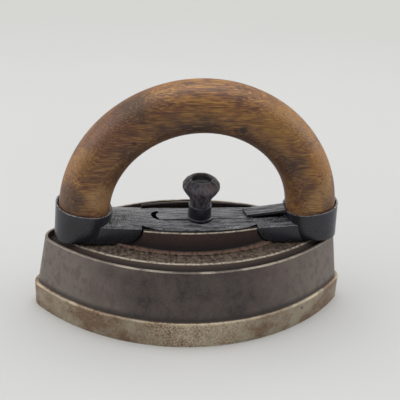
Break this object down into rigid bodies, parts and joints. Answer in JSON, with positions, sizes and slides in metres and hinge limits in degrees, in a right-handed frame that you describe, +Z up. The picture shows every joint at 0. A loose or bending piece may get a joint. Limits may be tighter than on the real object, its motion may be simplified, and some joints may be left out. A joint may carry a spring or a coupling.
{
  "type": "clothes iron",
  "caption": "Cast sad iron pointed at both ends, with a lift-off half-ring wooden handle held by a spring latch with a knob.",
  "frame": {"origin": "middle of the sole face, at the bottom of the bounding box", "axes": "+X along the iron from point to point, towards the spring end of the handle; +Z up through the knob; +Y across"},
  "size_m": [0.1606, 0.0824, 0.1206],
  "materials": {
    "rough_iron": "worn bare casting, browned by heat",
    "brown_iron": "rough brown casting with worn bright edges",
    "plaster": "poured insulating filling",
    "steel": "dull dark steel",
    "spring_steel": "blackened spring steel",
    "japanned_iron": "black japan varnish, worn, semi-gloss",
    "wood": "worn honey-brown hardwood, grain along the length of the iron"
  },
  "bodies": {
    "iron": {"body_casting": "rough_iron", "insulating_fill": "plaster", "cap_plate": "brown_iron", "keeper_rod": "steel", "cap_screws": "steel"},
    "handle": {"handle_base": "japanned_iron", "wooden_grip": "wood", "grip_screws": "steel", "lever_pin": "steel", "claw_pin": "steel"},
    "latch": {"latch_lever": "japanned_iron", "knob_collar": "japanned_iron", "knob": "japanned_iron", "knob_stem": "steel", "stem_cross_pin": "steel"},
    "claw": {"latch_claw": "steel"},
    "leaf": {"leaf_spring": "spring_steel"}
  },
  "joints": [
    {"name": "handle_lift", "type": "slide", "parent": "iron", "child": "handle", "axis": [0, 0, 1], "range_m": [0, 0.06]},
    {"name": "latch_swing", "type": "hinge", "parent": "handle", "child": "latch", "pos_m": [-0.015, 0, 0.0456], "axis": [0, 1, 0], "range_deg": [0, 4.5], "stiffness_Nm_per_rad": 0.2, "springref_deg": 17.19},
    {"name": "claw_swing", "type": "hinge", "parent": "handle", "child": "claw", "pos_m": [-0.0029, 0, 0.0432], "axis": [0, 1, 0], "range_deg": [0, 13.6]},
    {"name": "spring_flex", "type": "hinge", "parent": "handle", "child": "leaf", "pos_m": [0.0457, 0, 0.05373], "axis": [0, 1, 0], "range_deg": [-9.05, 0]}
  ],
  "couplings": [
    {"joint": "claw_swing", "follows": "latch_swing", "ratio": 3.0167},
    {"joint": "spring_flex", "follows": "latch_swing", "ratio": -2.005}
  ]
}
